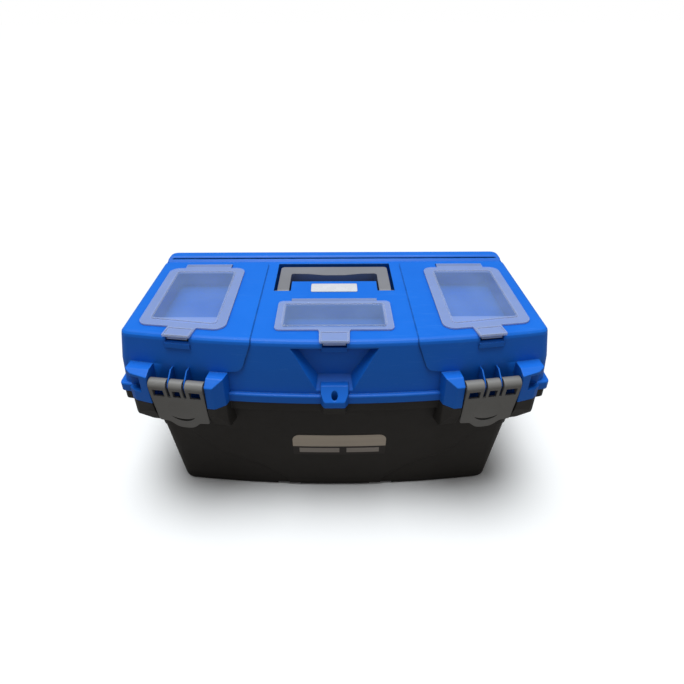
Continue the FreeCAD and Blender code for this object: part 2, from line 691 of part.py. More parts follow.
def pad(body, name, role, geometry, level, length, midplane=False):
    """Pad a sketch; a text length is a formula on the sheet."""
    item = body.newObject("PartDesign::Pad", name)
    item.Profile = sketch_on(body, name + "Sketch", role, geometry, level)
    item.Midplane = midplane
    if isinstance(length, str):
        bind(item, Length=length)
    else:
        item.Length = length
    body.Tip = item
    return item


def pocket_through(body, name, role, geometry):
    """Cut a sketch right through the body, both ways."""
    item = body.newObject("PartDesign::Pocket", name)
    item.Profile = sketch_on(body, name + "Sketch", role, geometry, 0)
    item.Type = "ThroughAll"
    item.Midplane = True
    body.Tip = item
    return item


def new_body(label):
    body = doc.addObject("PartDesign::Body", label)
    body.Label = label
    return body


def circle(x, y, radius):
    return [Part.Circle(Vector(x, y, 0), Vector(0, 0, 1), radius)]


def turned(points, angle, centre):
    """Plan corners turned about the origin and moved to a centre."""
    cosine, sine = math.cos(math.radians(angle)), math.sin(math.radians(angle))
    return [(centre[0] + x * cosine - y * sine, centre[1] + x * sine + y * cosine, r) for x, y, r in points]


def mirrored(points):
    return [(-x, y, r) for x, y, r in reversed(points)]


# ---- latches -----------------------------------------------------------------------

def latch_profile():
    """Side view of a latch about its pin: knuckle, leaning plate and inward hook."""
    knuckle = val("knuckle_radius")
    skin = val("latch_skin")

    def face(drop):
        return -knuckle + latch_lean_rate * drop

    reach = val("latch_reach")
    hook = val("latch_pivot_rise") + 14.2
    heel = Vector(2.0, -math.sqrt(knuckle ** 2 - 4.0), 0)
    top = Vector(knuckle * math.sqrt(0.5), knuckle * math.sqrt(0.5), 0)
    corners = [
        Vector(-knuckle, 0, 0),
        Vector(face(reach), -reach, 0),
        Vector(face(reach) + skin, -reach, 0),
        Vector(face(hook + 3.5) + skin, -hook - 3.5, 0),
        Vector(7.5, -hook - 2.5, 0),
        Vector(8.0, -hook, 0),
        Vector(face(hook) + skin, -hook, 0),
        Vector(face(12) + skin, -12, 0),
        heel,
    ]
    lines = [Part.LineSegment(first, second) for first, second in zip(corners, corners[1:])]
    return lines + [Part.Arc(heel, top, corners[0])]


def latch_trim():
    """What is cut off the plate to leave tapered sides and a rounded tongue."""
    wide = val("latch_width") / 2
    reach = val("latch_reach")
    edge = 9.0
    right = [(18, -reach + edge, 6), (wide - 1, -reach + edge + 1, 3), (wide, -14, 2), (wide + 9, -14, 0),
             (wide + 9, -reach - 9, 0)]
    left = mirrored(right)
    return rounded_loop([(8.5, -reach, 14)] + right + left + [(-8.5, -reach, 14)])


def smile(width, rise, thickness, level):
    """Crescent slit under the finger dish."""
    left = Vector(-width / 2, level + rise, 0)
    right = Vector(width / 2, level + rise, 0)
    return [Part.Arc(left, Vector(0, level, 0), right), Part.Arc(right, Vector(0, level - thickness, 0), left)]


def finger_dish(body):
    """Shallow round dish in the plate, above the crescent slit."""
    across, depth, drop = 15.0, 1.1, 33.0
    ball = (across ** 2 + depth ** 2) / (2 * depth)
    lean = math.atan(latch_lean_rate)
    face = -val("knuckle_radius") + latch_lean_rate * drop
    away = ball - depth
    dish = body.newObject("PartDesign::SubtractiveSphere", "Dish")
    dish.Radius = ball
    dish.Placement = Placement(Vector(0, face - away * math.cos(lean), -drop - away * math.sin(lean)), Rotation())
    body.Tip = dish


def make_latch(name, sign):
    body = new_body(name)
    pad(body, "Plate", "YZ_Plane", latch_profile(), 0, "Sizes.latch_width", midplane=True)
    doc.recompute()
    pocket_through(body, "Trim", "XZ_Plane", latch_trim())
    bore = val("pin_radius") + val("running_gap")
    pocket_through(body, "Bore", "YZ_Plane", circle(0, 0, bore))
    wide = val("latch_width") / 2
    finger = val("finger_width")
    gap = val("finger_gap")
    cuts = []
    for side in (-1, 1):
        low, high = sorted((side * (wide - finger), side * (wide - finger - gap)))
        cuts += rounded_loop([(low, -13.5, 1), (high, -13.5, 1), (high, 10, 0), (low, 10, 0)])
        centre = side * (wide - finger / 2)
        cuts += rounded_loop([(centre - 6.2, -12.8, 0.8), (centre + 6.2, -12.8, 0.8), (centre + 6.2, -3.4, 0.8),
                              (centre - 6.2, -3.4, 0.8)])
    cuts += rounded_loop([(-4.4, -12.8, 0.8), (4.4, -12.8, 0.8), (4.4, -3.4, 0.8), (-4.4, -3.4, 0.8)])
    pocket_through(body, "Slots", "XZ_Plane", cuts)
    pocket_through(body, "Smile", "XZ_Plane", smile(28, 4.2, 3.2, -47.2))
    finger_dish(body)
    body.Placement = Placement(Vector(sign * latch_pivot.x, latch_pivot.y, latch_pivot.z),
                               Rotation(Vector(0, 0, 1), sign * latch_turn))
    return body


# ---- covers ------------------------------------------------------------------------

def make_cover(name, outline, window, tab, tab_bead, hook, pivot_y, centre, barrel_length, deck):
    """Clear organiser cover: plate, window bead, front tab with its hook, and rear hinge barrel."""
    body = new_body(name)
    under = deck + val("cover_gap")
    top = under + val("cover_skin")
    cover_pivot_z = deck - val("cover_pivot_drop")
    pad(body, "Plate", "XY_Plane", rounded_loop(outline), under, "Sizes.cover_skin")
    doc.recompute()
    pad(body, "Bead", "XY_Plane", rounded_loop(window[0]) + rounded_loop(window[1]), top - 0.2,
        "Sizes.cover_bead + 0.2")
    pad(body, "Tab", "XY_Plane", rounded_loop(tab), under, "Sizes.cover_skin")
    pad(body, "Hook", "XY_Plane", rounded_loop(hook), deck - 4.2, under - deck + 5.2)
    pad(body, "TabBead", "XY_Plane", rounded_loop(tab_bead[0]) + rounded_loop(tab_bead[1]), top - 0.2,
        "Sizes.cover_bead + 0.2")
    reach = barrel_length / 2
    tongue_low = min(point[1] for point in outline[2:4])
    tongue = [(centre - reach, tongue_low - 3, 0), (centre + reach, tongue_low - 3, 0),
              (centre + reach, pivot_y + val("cover_barrel"), 0), (centre - reach, pivot_y + val("cover_barrel"), 0)]
    pad(body, "Tongue", "XY_Plane", rounded_loop(tongue), under, "Sizes.cover_skin")
    barrel = val("cover_barrel")
    web = barrel - 0.2
    drop = [(centre - reach, pivot_y - web, 0), (centre + reach, pivot_y - web, 0),
            (centre + reach, pivot_y + web, 0), (centre - reach, pivot_y + web, 0)]
    pad(body, "Drop", "XY_Plane", rounded_loop(drop), cover_pivot_z, under - cover_pivot_z + 1)
    round_rod = circle(pivot_y, cover_pivot_z, barrel)
    pad(body, "Barrel", "YZ_Plane", round_rod, centre - reach, barrel_length)
    trunnion = circle(pivot_y, cover_pivot_z, val("trunnion_radius"))
    pad(body, "Trunnion", "YZ_Plane", trunnion, centre - reach - val("trunnion_length"),
        barrel_length + 2 * val("trunnion_length"))
    return body


def tab_plans(near, far_side, root, spread):
    """Plan outlines of a cover's front tab, of the bead round it, and of the hook under it."""
    tab = [(-near, -2.6, 1.5), (near, -2.6, 1.5), (near + 0.6, root, 2), (far_side, root + 6, 0),
           (-far_side, root + 6, 0), (-near - 0.6, root, 2)]
    last = root - spread - 2
    outer = [(-near + 0.3, -2.3, 1.2), (near - 0.3, -2.3, 1.2), (near - 0.3, last, 1.2), (-near + 0.3, last, 1.2)]
    inner = [(-near + 1.9, -0.7, 0.5), (near - 1.9, -0.7, 0.5), (near - 1.9, last - 1.6, 0.5),
             (-near + 1.9, last - 1.6, 0.5)]
    hook = [(-near + 4, 0.8, 0), (near - 4, 0.8, 0), (near - 4, 2.4, 0), (-near + 4, 2.4, 0)]
    return tab, outer, inner, hook


def make_covers():
    bodies = []
    bead = 1.6
    side_root = side_cover_front - side_cover_slant / 2 - pod_face
    placed = [turned(points, side_cover_turn, (side_cover_x, pod_face)) for points in tab_plans(15.2, 17.6, side_root, 1.0)]
    right = [side_cover_plan(0, 12), side_cover_plan(window_margin - bead, 5), side_cover_plan(window_margin, 4)]
    right += placed
    left = [mirrored(points) for points in right]
    for name, plans, sign in (("cover_left", left, -1), ("cover_right", right, 1)):
        outline, outer, inner, tab, bead_outer, bead_inner, hook = plans
        low = [p for p in outline if p[1] == side_cover_back]
        outline = [p for p in outline if p not in low] + low
        bodies.append(make_cover(name, outline, (outer, inner), tab, (bead_outer, bead_inner), hook,
                                 side_pivot_y, sign * side_cover_x, side_barrel, pod_top))
    plans = tab_plans(15.8, 19.0, mid_cover_front - mid_face - 3.0, 0.5)
    tab, bead_outer, bead_inner, hook = [turned(points, 0, (0, mid_face)) for points in plans]
    window = (mid_cover_plan(8.5 - bead, 4), mid_cover_plan(8.5, 3))
    bodies.append(make_cover("cover_centre", mid_cover_plan(0, 6), window, tab, (bead_outer, bead_inner), hook,
                             mid_pivot_y, 0, mid_barrel, lid_top))
    return bodies


# ---- handle ------------------------------------------------------------------------

def make_handle():
    """U-shaped carrying handle, folded flat, with its trunnions."""
    body = new_body("handle")
    side = val("handle_half")
    inner = side - val("handle_arm")
    pivot = handle_pivot.y
    back = pivot + val("handle_reach")
    grip = back - val("grip_depth")
    low = handle_pivot.z - val("handle_skin") / 2
    wave = [(inner, grip, 4), (inner - 22, grip - 1, 20), (14, grip - 5, 14), (-14, grip - 5, 14),
            (-inner + 22, grip - 1, 20), (-inner, grip, 4)]
    outline = [(-inner, pivot, 0), (-side, pivot, 0), (-side, back, 5), (side, back, 5), (side, pivot, 0),
               (inner, pivot, 0)]
    pad(body, "Bow", "XY_Plane", rounded_loop(outline + wave), low, "Sizes.handle_skin")
    doc.recompute()
    end = val("handle_skin") / 2
    for name, centre in (("EyeLeft", -side), ("EyeRight", inner)):
        pad(body, name, "YZ_Plane", circle(pivot, handle_pivot.z, end), centre, "Sizes.handle_arm")
    reach = side + val("handle_gap") + val("trunnion_bite")
    pad(body, "TrunnionLeft", "YZ_Plane", circle(pivot, handle_pivot.z, val("handle_trunnion")), -reach,
        reach - side + 1)
    pad(body, "TrunnionRight", "YZ_Plane", circle(pivot, handle_pivot.z, val("handle_trunnion")), side - 1,
        reach - side + 1)
    return body


# ---- tray, plates ------------------------------------------------------------------

def boxed(label, low, size):
    """Part::Box whose place and size are numbers or formulas on the sheet."""
    item = doc.addObject("Part::Box", label)
    item.Label = label
    for name, amount in zip(("Length", "Width", "Height"), size):
        if isinstance(amount, str):
            bind(item, **{name: amount})
        else:
            setattr(item, name, amount)
    for axis, amount in zip("xyz", low):
        if isinstance(amount, str):
            item.setExpression(f"Placement.Base.{axis}", amount)
        else:
            item.setExpression(f"Placement.Base.{axis}", f"{amount} mm")
    return item


TRAY_FOOT = "Sizes.rim_level - Sizes.tray_sink - Sizes.tray_height"


def make_tray():
    """Lift-out tray with a front, a middle and a rear trough."""
    shell = boxed("TrayShell", ("-Sizes.tray_half", "Sizes.tray_front", TRAY_FOOT),
                  ("2 * Sizes.tray_half", "Sizes.tray_back - Sizes.tray_front", "Sizes.tray_height"))
    soft = doc.addObject("Part::Fillet", "TraySoftCorners")
    soft.Base = shell
    soft.Edges = [(edge, 12.0, 12.0) for edge in (1, 3, 5, 7)]
    hollows = []
    for index, (low, depth) in enumerate(tray_troughs()):
        name = f"TrayTrough{index + 1}"
        trough = boxed(name, ("-Sizes.tray_half + Sizes.tray_skin", low, TRAY_FOOT + " + Sizes.tray_skin"),
                       ("2 * Sizes.tray_half - 2 * Sizes.tray_skin", depth, "Sizes.tray_height"))
        smooth = doc.addObject("Part::Fillet", name + "Soft")
        smooth.Base = trough
        smooth.Edges = [(edge, 8.0, 8.0) for edge in (1, 3, 5, 7)]
        hollows.append(smooth)
    tools = doc.addObject("Part::MultiFuse", "TrayTroughs")
    tools.Shapes = hollows
    tray = doc.addObject("Part::Cut", "tray")
    tray.Label = "tray"
    tray.Base = soft
    tray.Tool = tools
    return tray


def tray_troughs():
    """Front limit and depth of each trough, front to back."""
    skin = val("tray_skin")
    clear = val("tray_back") - val("tray_front") - 4 * skin - val("trough_depth")
    first = val("tray_front") + skin
    second = first + clear / 2 + skin
    third = second + val("trough_depth") + skin
    return [(first, clear / 2), (second, val("trough_depth")), (third, clear / 2)]


def make_tray_handle():
    """Arch standing in the middle trough, to lift the tray by."""
    low, depth = tray_troughs()[1]
    centre = low + depth / 2
    foot = rim_level - val("tray_sink") - val("tray_height") + val("tray_skin")
    outer = [(-62, foot, 0), (62, foot, 0), (62, rim_level + 9, 10), (-62, rim_level + 9, 10)]
    inner = [(-52, foot - 1, 0), (52, foot - 1, 0), (52, rim_level - 2, 6), (-52, rim_level - 2, 6)]
    arch = front_prism(outer, centre - 6, centre + 6).cut(front_prism(inner, centre - 7, centre + 7))
    return feature("tray_handle", arch)


def make_dividers():
    """Loose partitions across the front and rear troughs."""
    dividers = []
    troughs = tray_troughs()
    places = [(-68, 0), (68, 0), (-68, 2), (68, 2)]
    for index, (x, trough) in enumerate(places, start=1):
        low, depth = troughs[trough]
        dividers.append(boxed(f"tray_divider_{index}", (x - 1.0, low, TRAY_FOOT + " + Sizes.tray_skin"),
                              ("Sizes.tray_skin", depth, "Sizes.tray_height - 10")))
    return dividers


def make_name_plate():
    """Blank white plate on the lid, in front of the handle."""
    body = new_body("name_plate")
    pad(body, "Plate", "XY_Plane", rounded_loop([(-28.5, 1, 2), (28.5, 1, 2), (28.5, 22.5, 2), (-28.5, 22.5, 2)]),
        lid_top, "Sizes.plate_skin")
    return body


def make_front_label():
    """Blank label wrapped on the tub's sloping, bowed front."""
    skin = ruled_solid(tub_levels(-val("label_skin"), 0, rim_level)).cut(ruled_solid(tub_levels(0, 0, rim_level)))
    outline = [(-51, 64, 3), (62, 64, 3), (62, 100, 9), (-51, 100, 9)]
    return feature("front_label", skin.common(front_prism(outline, rim_front - 5, -20)))


# ---- build, check and write ----------------------------------------------------------

nodes = [make_tub(), make_lid(), make_handle(), make_latch("latch_left", -1), make_latch("latch_right", 1)]
nodes += make_pins()
nodes += make_covers()
nodes += [make_tray(), make_tray_handle(), make_name_plate(), make_front_label()]
nodes += make_dividers()
doc.recompute()

for item in doc.Objects:
    if "Invalid" in item.State or "Error" in item.State:
        raise RuntimeError(f"{item.Label} did not build: {item.State}")

os.makedirs("parts", exist_ok=True)
for node in nodes:
    shape = node.Shape
    if shape.isNull() or not shape.isValid():
        raise RuntimeError(f"{node.Label} has no valid shape")
    print(f"{node.Label:18s} solids {len(shape.Solids)}  volume {shape.Volume / 1000:8.1f} cm3")
    shape.exportStep(f"parts/{node.Label}.step")
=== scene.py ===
import bpy
import math
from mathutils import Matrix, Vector


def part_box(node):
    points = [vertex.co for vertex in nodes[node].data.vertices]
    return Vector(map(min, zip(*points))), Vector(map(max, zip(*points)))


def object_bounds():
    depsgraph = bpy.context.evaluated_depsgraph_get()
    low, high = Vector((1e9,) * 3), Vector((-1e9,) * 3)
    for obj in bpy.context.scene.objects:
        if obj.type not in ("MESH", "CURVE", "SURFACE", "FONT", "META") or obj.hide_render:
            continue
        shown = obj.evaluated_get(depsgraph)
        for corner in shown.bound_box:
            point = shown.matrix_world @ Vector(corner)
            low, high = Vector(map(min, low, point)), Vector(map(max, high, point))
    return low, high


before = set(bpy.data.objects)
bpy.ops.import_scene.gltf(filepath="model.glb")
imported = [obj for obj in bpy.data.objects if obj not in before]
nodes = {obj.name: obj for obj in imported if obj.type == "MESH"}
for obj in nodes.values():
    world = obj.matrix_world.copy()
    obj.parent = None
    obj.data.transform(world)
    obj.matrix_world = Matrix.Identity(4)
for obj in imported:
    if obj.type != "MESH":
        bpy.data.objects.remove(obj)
cadLow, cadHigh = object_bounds()
print("frame loaded:", len(nodes), "nodes")

# Colours are linear red, green, blue and alpha. Lengths are metres.

plasticIndex = 1.49                     # refraction of polypropylene
middle = (0.3, 0.7)                     # the stretch that most of a noise pattern lies in


def newMaterial(name):
    material = bpy.data.materials.new(name)
    material.use_nodes = True
    tree = material.node_tree
    tree.nodes.clear()
    return material, tree


def addNode(tree, kind, settings=None, **inputs):
    # one node; an input takes a number, a colour or another node's output
    node = tree.nodes.new(kind)
    for name, value in (settings or {}).items():
        setattr(node, name, value)
    for name, value in inputs.items():
        plug(tree, node.inputs[name.replace("_", " ")], value)
    return node


def plug(tree, socket, value):
    if isinstance(value, bpy.types.NodeSocket):
        tree.links.new(value, socket)
    else:
        socket.default_value = value


def calculate(tree, operation, first, second):
    node = addNode(tree, "ShaderNodeMath", {"operation": operation})
    plug(tree, node.inputs[0], first)
    plug(tree, node.inputs[1], second)
    return node.outputs[0]


def mixColour(tree, share, first, second):
    node = addNode(tree, "ShaderNodeMix", {"data_type": "RGBA"})
    for socket, value in zip((node.inputs[0], node.inputs[6], node.inputs[7]), (share, first, second)):
        plug(tree, socket, value)
    return node.outputs[2]


def spread(tree, value, low, high, lowOut=0.0, highOut=1.0):
    # maps a stretch of an output on to another range, held at both ends
    node = addNode(tree, "ShaderNodeMapRange", Value=value, From_Min=low, From_Max=high, To_Min=lowOut,
                   To_Max=highOut)
    return node.outputs[0]


def noise(tree, position, scale, detail=3.0, roughness=0.5):
    return addNode(tree, "ShaderNodeTexNoise", Vector=position, Scale=scale, Detail=detail,
                   Roughness=roughness).outputs[0]


def insideBox(tree, position, low, high, soft):
    # 1 inside a box of the rest frame, 0 outside it; None leaves a side open
    parts = addNode(tree, "ShaderNodeSeparateXYZ", Vector=position)
    share = 1.0
    for axis in range(3):
        along = parts.outputs[axis]
        if low[axis] is not None:
            share = calculate(tree, "MULTIPLY", share, spread(tree, along, low[axis] - soft, low[axis]))
        if high[axis] is not None:
            share = calculate(tree, "MULTIPLY", share,
                              spread(tree, along, high[axis], high[axis] + soft, 1.0, 0.0))
    return share


def finishMaterial(tree, shader):
    output = addNode(tree, "ShaderNodeOutputMaterial")
    tree.links.new(shader.outputs[0], output.inputs["Surface"])


# Injection-moulded plastic: a fine spark-eroded grain, slow cloudy shifts in colour, softened edges with
# pale rubbed spots, a few long hairline scratches, and painted shade that darkens the colour in narrow hollows.

plasticDetail = {
    "scuffScale": 55.0, "scuffCut": (0.42, 0.62), "edgeCut": (0.995, 0.86),
    "scratchScale": 9.0, "scratchLength": 14.0, "scratchSpacing": 3.0, "scratchTilt": (0.3, 0.2),
    "scratchAngles": (0.4, 1.9), "scratchCut": (0.66, 0.70), "scratchShare": 0.25,
    "scratchPaleness": 0.35, "scratchRoughness": 0.4, "scratchDepth": 1.5,
    "dustScale": 420.0, "dustCut": (0.62, 0.74), "dustShare": 0.05,
    # recess values: the reach and strength of the painted shade in hollows
    "recessReach": 0.022, "recessCut": (0.25, 0.95), "recessShade": 0.75,
    "smoother": 0.05, "rougher": 0.08,
}


def edgeShare(tree, radius, samples=4):
    # softened normal, and how near an edge the point lies
    soft = addNode(tree, "ShaderNodeBevel", {"samples": samples}, Radius=radius).outputs[0]
    flat = addNode(tree, "ShaderNodeNewGeometry").outputs["Normal"]
    alike = addNode(tree, "ShaderNodeVectorMath", {"operation": "DOT_PRODUCT"})
    tree.links.new(soft, alike.inputs[0])
    tree.links.new(flat, alike.inputs[1])
    return soft, spread(tree, alike.outputs["Value"], *plasticDetail["edgeCut"])


def scratches(tree, position, angle):
    # thin streaks in one direction, broken up along their length
    along = plasticDetail["scratchScale"]
    across = along * plasticDetail["scratchLength"]
    turned = addNode(tree, "ShaderNodeMapping", Vector=position,
                     Rotation=(*plasticDetail["scratchTilt"], angle), Scale=(along, across, across)).outputs[0]
    streak = noise(tree, turned, plasticDetail["scratchSpacing"], 2.0)
    return spread(tree, streak, *plasticDetail["scratchCut"])


def aoShadeMask(tree, reach):
    # 1 on open surfaces, less in narrow hollows; it sets where shade is painted into the colour
    return addNode(tree, "ShaderNodeAmbientOcclusion", {"samples": 6}, Distance=reach).outputs["AO"]


def makePlastic(name, look):
    detail = plasticDetail
    material, tree = newMaterial(name)
    position = addNode(tree, "ShaderNodeTexCoord").outputs["Object"]
    soft, edge = edgeShare(tree, look["edgeRadius"])
    cloud = noise(tree, position, look["cloudScale"])
    grain = noise(tree, position, look["grainScale"], 2.0, 0.6)
    scuff = noise(tree, position, detail["scuffScale"], 6.0, 0.7)
    dust = noise(tree, position, detail["dustScale"], 4.0, 0.65)
    worn = calculate(tree, "MULTIPLY", edge, spread(tree, scuff, *detail["scuffCut"], 0.0, look["wear"]))
    lines = calculate(tree, "MAXIMUM", *(scratches(tree, position, angle) for angle in detail["scratchAngles"]))
    lines = calculate(tree, "MULTIPLY", lines, detail["scratchShare"])
    pale = calculate(tree, "MULTIPLY", lines, detail["scratchPaleness"])
    specks = spread(tree, dust, *detail["dustCut"], 0.0, detail["dustShare"])

    colour = mixColour(tree, spread(tree, cloud, *middle), look["dark"], look["colour"])
    colour = mixColour(tree, worn, colour, look["wornColour"])
    colour = mixColour(tree, calculate(tree, "ADD", pale, specks), colour, look["wornColour"])
    # painted shade: the colour darkens towards the look's darkest colour in narrow hollows, where less light
    # reaches
    paintedShadeShare = spread(tree, aoShadeMask(tree, detail["recessReach"]), *detail["recessCut"], detail["recessShade"], 0.0)
    colour = mixColour(tree, paintedShadeShare, colour, look["deep"])
    rough = spread(tree, scuff, *middle, look["roughness"] - detail["smoother"],
                   look["roughness"] + detail["rougher"])
    rough = calculate(tree, "ADD", rough, calculate(tree, "MULTIPLY", lines, detail["scratchRoughness"]))
    height = calculate(tree, "SUBTRACT", grain, calculate(tree, "MULTIPLY", lines, detail["scratchDepth"]))
    bump = addNode(tree, "ShaderNodeBump", Height=height, Normal=soft, Strength=look["grainStrength"],
                   Distance=look["grainHeight"])
    shader = addNode(tree, "ShaderNodeBsdfPrincipled", Base_Color=colour, Roughness=rough,
                     Normal=bump.outputs[0], IOR=plasticIndex)
    shader.inputs["Specular IOR Level"].default_value = look["specular"]
    finishMaterial(tree, shader)
    return material


# In each look, the darkest colour is painted shade for narrow hollows, not a colour of the plastic.
blueLook = {
    "colour": (0.011, 0.190, 0.840, 1), "dark": (0.008, 0.165, 0.760, 1), "wornColour": (0.10, 0.36, 0.95, 1),
    "deep": (0.002, 0.060, 0.300, 1),
    "roughness": 0.38, "specular": 0.27, "wear": 0.35, "edgeRadius": 0.0018, "cloudScale": 7.0,
    "grainScale": 1500.0, "grainStrength": 0.12, "grainHeight": 0.00006,
}
blackLook = {
    "colour": (0.043, 0.039, 0.035, 1), "dark": (0.033, 0.030, 0.027, 1), "wornColour": (0.12, 0.115, 0.11, 1),
    "deep": (0.012, 0.011, 0.010, 1),
    "roughness": 0.50, "specular": 0.40, "wear": 0.45, "edgeRadius": 0.0018, "cloudScale": 6.0,
    "grainScale": 1100.0, "grainStrength": 0.25, "grainHeight": 0.00008,
}
greyLook = {
    "colour": (0.255, 0.250, 0.240, 1), "dark": (0.215, 0.210, 0.200, 1), "wornColour": (0.42, 0.42, 0.42, 1),
    "deep": (0.075, 0.073, 0.070, 1),
    "roughness": 0.40, "specular": 0.45, "wear": 0.4, "edgeRadius": 0.0014, "cloudScale": 11.0,
    "grainScale": 1500.0, "grainStrength": 0.14, "grainHeight": 0.00006,
}
# The handle: the grey plastic made bluer and a little lighter, a painted reflection of the pale sky above it.
handleSkyTintLook = dict(greyLook, colour=(0.265, 0.268, 0.290, 1), dark=(0.230, 0.232, 0.250, 1))
trayLook = {
    "colour": (0.055, 0.055, 0.056, 1), "dark": (0.045, 0.045, 0.046, 1), "wornColour": (0.13, 0.13, 0.13, 1),
    "deep": (0.015, 0.015, 0.015, 1),
    "roughness": 0.45, "specular": 0.4, "wear": 0.3, "edgeRadius": 0.001, "cloudScale": 8.0,
    "grainScale": 1100.0, "grainStrength": 0.15, "grainHeight": 0.00006,
}

# Zinc-plated wire, with fine streaks along it.

steelLook = {
    "dark": (0.42, 0.42, 0.43, 1), "light": (0.66, 0.66, 0.67, 1), "streaks": (30.0, 900.0, 900.0),
    "smooth": 0.24, "rough": 0.42, "bump": 0.15, "bumpHeight": 0.00003,
}


def makeSteel():
    material, tree = newMaterial("zincSteel")
    position = addNode(tree, "ShaderNodeTexCoord").outputs["Object"]
    stretched = addNode(tree, "ShaderNodeMapping", Vector=position, Scale=steelLook["streaks"]).outputs[0]
    streak = noise(tree, stretched, 1.0, 4.0)
    bump = addNode(tree, "ShaderNodeBump", Height=streak, Strength=steelLook["bump"],
                   Distance=steelLook["bumpHeight"])
    shader = addNode(tree, "ShaderNodeBsdfPrincipled",
                     Base_Color=mixColour(tree, streak, steelLook["dark"], steelLook["light"]),
                     Roughness=spread(tree, streak, *middle, steelLook["smooth"], steelLook["rough"]),
                     Metallic=1.0, Normal=bump.outputs[0])
    finishMaterial(tree, shader)
    return material


# Translucent organiser covers: a frosted border and tab round a clearer, glossier window, pale at the edges
# where the light gathers.

clearLook = {
    "frameColour": (0.42, 0.56, 0.95, 1), "windowColour": (0.36, 0.54, 0.90, 1),
    "edgeColour": (0.85, 0.90, 1.0, 1), "edgeRadius": 0.0009,
    "frameAlpha": 0.46, "windowAlpha": 0.22, "edgeAlpha": 0.80, "flowScale": 24.0, "flowAlpha": (-0.03, 0.04),
    "roughness": 0.16, "frost": 0.40, "frostScale": 1400.0, "bump": 0.12, "bumpHeight": 0.00005,
    "fade": 0.0015,                     # width of the change from window to border
    "sideMargin": (0.013, 0.042, 0.026),    # side, front and back of a side cover's window
    "centreMargin": (0.010, 0.031, 0.014),
}


def makeClear(name, node, margin):
    low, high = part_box(node)
    side, front, back = margin
    material, tree = newMaterial(name)
    position = addNode(tree, "ShaderNodeTexCoord").outputs["Object"]
    window = insideBox(tree, position, (low.x + side, low.y + front, None),
                       (high.x - side, high.y - back, None), clearLook["fade"])
    frost = noise(tree, position, clearLook["frostScale"], 2.0)
    flow = noise(tree, position, clearLook["flowScale"], 4.0)
    soft, edge = edgeShare(tree, clearLook["edgeRadius"])
    colour = mixColour(tree, window, clearLook["frameColour"], clearLook["windowColour"])
    colour = mixColour(tree, edge, colour, clearLook["edgeColour"])
    alpha = spread(tree, window, 0.0, 1.0, clearLook["frameAlpha"], clearLook["windowAlpha"])
    alpha = calculate(tree, "ADD", alpha, spread(tree, flow, *middle, *clearLook["flowAlpha"]))
    alpha = calculate(tree, "MAXIMUM", alpha, calculate(tree, "MULTIPLY", edge, clearLook["edgeAlpha"]))
    rough = spread(tree, window, 0.0, 1.0, clearLook["frost"], clearLook["roughness"])
    bump = addNode(tree, "ShaderNodeBump", Height=frost, Normal=soft, Strength=clearLook["bump"],
                   Distance=clearLook["bumpHeight"])
    shader = addNode(tree, "ShaderNodeBsdfPrincipled", Base_Color=colour, Roughness=rough, Alpha=alpha,
                     Normal=bump.outputs[0], IOR=plasticIndex)
    finishMaterial(tree, shader)
    return material


# The plate on the lid: glossy white, nothing printed on it.

plateLook = {
    "dark": (0.66, 0.67, 0.71, 1), "light": (0.80, 0.81, 0.85, 1), "mottle": 90.0, "edgeRadius": 0.0005,
    "smooth": 0.2, "rough": 0.32, "bump": 0.08, "bumpHeight": 0.0001,
}


def makeWhitePlate():
    material, tree = newMaterial("whitePlate")
    position = addNode(tree, "ShaderNodeTexCoord").outputs["Object"]
    mottle = noise(tree, position, plateLook["mottle"], 4.0)
    soft = edgeShare(tree, plateLook["edgeRadius"])[0]
    bump = addNode(tree, "ShaderNodeBump", Height=mottle, Normal=soft, Strength=plateLook["bump"],
                   Distance=plateLook["bumpHeight"])
    colour = mixColour(tree, mottle, plateLook["dark"], plateLook["light"])
    shader = addNode(tree, "ShaderNodeBsdfPrincipled", Base_Color=colour,
                     Roughness=spread(tree, mottle, *middle, plateLook["smooth"], plateLook["rough"]),
                     Normal=bump.outputs[0])
    finishMaterial(tree, shader)
    return material


# The label on the tub: metallised film, a bare silver band over a dark band with two plain pale panels.

labelLook = {
    "silver": (0.62, 0.53, 0.43, 1), "silverLight": (0.82, 0.72, 0.60, 1), "ink": (0.045, 0.038, 0.035, 1),
    "panel": (0.46, 0.41, 0.37, 1), "bandShare": 0.56, "panels": ((0.07, 0.50), (0.58, 0.93)),
    "panelFoot": 0.13, "panelHead": 0.09, "fade": 0.0003, "brushing": (12.0, 12.0, 700.0),
    "inkMetal": 0.05, "silverMetal": 0.35, "smooth": 0.28, "rough": 0.42, "bump": 0.06, "bumpHeight": 0.00005,
}


def makeLabel():
    low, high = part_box("front_label")
    height = high.z - low.z
    width = high.x - low.x
    split = high.z - height * labelLook["bandShare"]
    material, tree = newMaterial("silverLabel")
    position = addNode(tree, "ShaderNodeTexCoord").outputs["Object"]
    stretched = addNode(tree, "ShaderNodeMapping", Vector=position, Scale=labelLook["brushing"]).outputs[0]
    brushed = noise(tree, stretched, 1.0)
    band = insideBox(tree, position, (None, None, split), (None, None, None), labelLook["fade"])
    colour = mixColour(tree, band, labelLook["ink"],
                       mixColour(tree, brushed, labelLook["silver"], labelLook["silverLight"]))
    for start, end in labelLook["panels"]:
        panel = insideBox(tree, position,
                          (low.x + width * start, None, low.z + height * labelLook["panelFoot"]),
                          (low.x + width * end, None, split - height * labelLook["panelHead"]), labelLook["fade"])
        colour = mixColour(tree, panel, colour, labelLook["panel"])
    bump = addNode(tree, "ShaderNodeBump", Height=brushed, Strength=labelLook["bump"],
                   Distance=labelLook["bumpHeight"])
    shader = addNode(tree, "ShaderNodeBsdfPrincipled", Base_Color=colour,
                     Metallic=spread(tree, band, 0.0, 1.0, labelLook["inkMetal"], labelLook["silverMetal"]),
                     Roughness=spread(tree, brushed, *middle, labelLook["smooth"], labelLook["rough"]),
                     Normal=bump.outputs[0])
    finishMaterial(tree, shader)
    return material


def paint(material, *names):
    for name in names:
        slots = nodes[name].data.materials
        slots.clear()
        slots.append(material)


